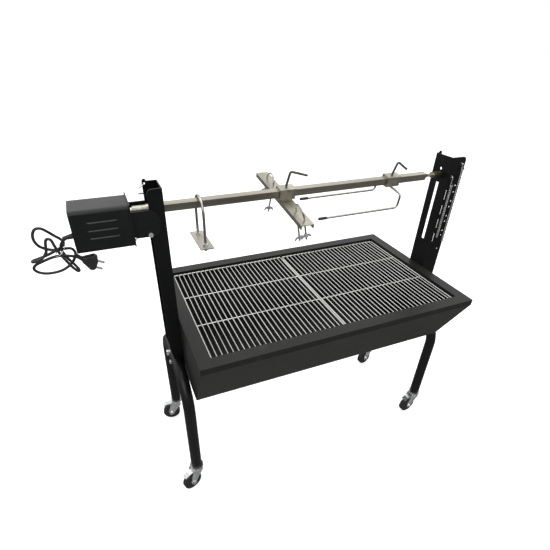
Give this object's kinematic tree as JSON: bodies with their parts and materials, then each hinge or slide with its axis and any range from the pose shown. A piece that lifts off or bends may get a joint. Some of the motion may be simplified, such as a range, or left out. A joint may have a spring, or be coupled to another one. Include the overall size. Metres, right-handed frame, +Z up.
{
  "type": "rotisserie spit roaster",
  "caption": "Charcoal spit roaster: V-shaped trough with lift-out grates, slotted end posts, motor-driven square spit with clamping fittings, bent tube legs and swivel castors",
  "frame": {"origin": "on the floor below the middle of the trough", "axes": "+X along the trough away from the motor, +Y to the back, +Z up"},
  "size_m": [1.3663, 0.581, 1.096],
  "materials": {
    "black_paint": "satin black powder coat",
    "brass_bush": "bearing brass",
    "cord_black": "soft black sheath",
    "dark_steel": "darkened steel",
    "grate_chrome": "bright plated rods",
    "leg_paint": "semi-gloss black tube paint",
    "motor_paint": "gloss black paint",
    "stainless": "satin stainless steel",
    "tip_black": "push-on tip",
    "tyre_black": "hard black tread",
    "zinc": "bright zinc plate"
  },
  "bodies": {
    "base": {"cord_hank": "cord_black", "cord_lead": "cord_black", "cord_pins": "zinc", "cord_plug": "cord_black", "cord_relief": "cord_black", "firebox_end_left": "black_paint", "firebox_end_right": "black_paint", "firebox_floor": "black_paint", "firebox_panel_back": "black_paint", "firebox_panel_front": "black_paint", "firebox_rim": "black_paint", "frame_bolts": "zinc", "hook_left": "zinc", "leg_frame_left": "leg_paint", "leg_frame_right": "leg_paint", "leg_sockets": "black_paint", "motor_bolts": "zinc", "motor_cover": "motor_paint", "motor_gearbox": "motor_paint", "motor_plate": "black_paint", "motor_strap_back": "black_paint", "motor_strap_front": "black_paint", "post_left": "black_paint", "post_right": "black_paint", "spit_bushing": "brass_bush"},
    "castor_front_left": {"castor_front_left_fork": "zinc"},
    "wheel_front_left": {"castor_front_left_wheel": "tyre_black"},
    "brake_front_left": {"castor_front_left_brake": "zinc"},
    "castor_front_right": {"castor_front_right_fork": "zinc"},
    "wheel_front_right": {"castor_front_right_wheel": "tyre_black"},
    "brake_front_right": {"castor_front_right_brake": "zinc"},
    "castor_back_left": {"castor_back_left_fork": "zinc"},
    "wheel_back_left": {"castor_back_left_wheel": "tyre_black"},
    "brake_back_left": {"castor_back_left_brake": "zinc"},
    "castor_back_right": {"castor_back_right_fork": "zinc"},
    "wheel_back_right": {"castor_back_right_wheel": "tyre_black"},
    "brake_back_right": {"castor_back_right_brake": "zinc"},
    "spit": {"spit_bar": "stainless", "spit_coupling": "stainless"},
    "leg_bracket": {"leg_bracket_ubolt": "stainless", "leg_bracket_plate": "stainless", "leg_bracket_nuts": "stainless"},
    "brace": {"brace_bar": "stainless", "brace_collar": "stainless", "brace_ubolts": "stainless"},
    "fork": {"fork_collar": "stainless", "fork_tines": "stainless", "fork_tips": "tip_black"},
    "brace_lock": {"brace_lock_bolt": "dark_steel"},
    "fork_lock": {"fork_lock_bolt": "dark_steel"},
    "wing_nut_near_front": {"brace_wing_nut_near_front": "stainless"},
    "wing_nut_near_back": {"brace_wing_nut_near_back": "stainless"},
    "wing_nut_far_front": {"brace_wing_nut_far_front": "stainless"},
    "wing_nut_far_back": {"brace_wing_nut_far_back": "stainless"},
    "grate_left": {"grate_left": "grate_chrome"},
    "grate_right": {"grate_right": "grate_chrome"},
    "chain_outer": {"hook_outer": "zinc", "chain_outer": "zinc"},
    "chain_inner": {"hook_inner": "zinc", "chain_inner": "zinc"}
  },
  "joints": [
    {"name": "swivel_front_left", "type": "hinge", "parent": "base", "child": "castor_front_left", "pos_m": [-0.5022, -0.162, 0.1], "axis": [0, 0, 1], "continuous": true},
    {"name": "roll_front_left", "type": "hinge", "parent": "castor_front_left", "child": "wheel_front_left", "pos_m": [-0.52663, -0.17089, 0.035], "axis": [0.342, -0.9397, 0], "continuous": true},
    {"name": "brake_front_left", "type": "hinge", "parent": "castor_front_left", "child": "brake_front_left", "pos_m": [-0.50596, -0.16337, 0.085], "axis": [0.342, -0.9397, 0], "range_deg": [0, 12]},
    {"name": "swivel_front_right", "type": "hinge", "parent": "base", "child": "castor_front_right", "pos_m": [0.5022, -0.162, 0.1], "axis": [0, 0, 1], "continuous": true},
    {"name": "roll_front_right", "type": "hinge", "parent": "castor_front_right", "child": "wheel_front_right", "pos_m": [0.4763, -0.16427, 0.035], "axis": [0.0872, -0.9962, 0], "continuous": true},
    {"name": "brake_front_right", "type": "hinge", "parent": "castor_front_right", "child": "brake_front_right", "pos_m": [0.49822, -0.16235, 0.085], "axis": [0.0872, -0.9962, 0], "range_deg": [0, 12]},
    {"name": "swivel_back_left", "type": "hinge", "parent": "base", "child": "castor_back_left", "pos_m": [-0.5022, 0.186, 0.1], "axis": [0, 0, 1], "continuous": true},
    {"name": "roll_back_left", "type": "hinge", "parent": "castor_back_left", "child": "wheel_back_left", "pos_m": [-0.5278, 0.19051, 0.035], "axis": [-0.1736, -0.9848, 0], "continuous": true},
    {"name": "brake_back_left", "type": "hinge", "parent": "castor_back_left", "child": "brake_back_left", "pos_m": [-0.50614, 0.18669, 0.085], "axis": [-0.1736, -0.9848, 0], "range_deg": [0, 12]},
    {"name": "swivel_back_right", "type": "hinge", "parent": "base", "child": "castor_back_right", "pos_m": [0.5022, 0.186, 0.1], "axis": [0, 0, 1], "continuous": true},
    {"name": "roll_back_right", "type": "hinge", "parent": "castor_back_right", "child": "wheel_back_right", "pos_m": [0.47659, 0.18149, 0.035], "axis": [0.1736, -0.9848, 0], "continuous": true},
    {"name": "brake_back_right", "type": "hinge", "parent": "castor_back_right", "child": "brake_back_right", "pos_m": [0.49826, 0.1853, 0.085], "axis": [0.1736, -0.9848, 0], "range_deg": [0, 12]},
    {"name": "spit_turn", "type": "hinge", "parent": "base", "child": "spit", "pos_m": [0, 0, 1.0276], "axis": [1, 0, 0], "continuous": true},
    {"name": "leg_bracket_slide", "type": "slide", "parent": "spit", "child": "leg_bracket", "axis": [1, 0, 0], "range_m": [-0.06, 0.1]},
    {"name": "brace_slide", "type": "slide", "parent": "spit", "child": "brace", "axis": [1, 0, 0], "range_m": [-0.1, 0.04]},
    {"name": "fork_slide", "type": "slide", "parent": "spit", "child": "fork", "axis": [1, 0, 0], "range_m": [-0.02, 0.1]},
    {"name": "brace_lock_turn", "type": "hinge", "parent": "brace", "child": "brace_lock", "pos_m": [-0.113, -0.00302, 1.04737], "axis": [0, -0.1513, 0.9885], "continuous": true},
    {"name": "fork_lock_turn", "type": "hinge", "parent": "fork", "child": "fork_lock", "pos_m": [0.271, -0.00302, 1.04737], "axis": [0, -0.1513, 0.9885], "continuous": true},
    {"name": "wing_nut_near_front_turn", "type": "hinge", "parent": "brace", "child": "wing_nut_near_front", "pos_m": [-0.10006, -0.12247, 0.93876], "axis": [-0.2588, -0.1461, 0.9548], "continuous": true},
    {"name": "wing_nut_near_back_turn", "type": "hinge", "parent": "brace", "child": "wing_nut_near_back", "pos_m": [-0.08919, -0.06295, 0.90682], "axis": [-0.2588, -0.1461, 0.9548], "continuous": true},
    {"name": "wing_nut_far_front_turn", "type": "hinge", "parent": "brace", "child": "wing_nut_far_front", "pos_m": [-0.12094, 0.10357, 0.94574], "axis": [0.1045, -0.1504, 0.9831], "continuous": true},
    {"name": "wing_nut_far_back_turn", "type": "hinge", "parent": "brace", "child": "wing_nut_far_back", "pos_m": [-0.11697, 0.14926, 0.99096], "axis": [0.1045, -0.1504, 0.9831], "continuous": true},
    {"name": "grate_left_lift", "type": "slide", "parent": "base", "child": "grate_left", "axis": [0, 0, 1], "range_m": [0, 0.15]},
    {"name": "grate_right_lift", "type": "slide", "parent": "base", "child": "grate_right", "axis": [0, 0, 1], "range_m": [0, 0.15]},
    {"name": "chain_outer_swing", "type": "hinge", "parent": "base", "child": "chain_outer", "pos_m": [0.5265, -0.0365, 1.069], "axis": [0, -1, 0], "range_deg": [0, 15]},
    {"name": "chain_inner_swing", "type": "hinge", "parent": "base", "child": "chain_inner", "pos_m": [0.497, -0.0365, 1.027], "axis": [0, -1, 0], "range_deg": [-15, 0]}
  ]
}
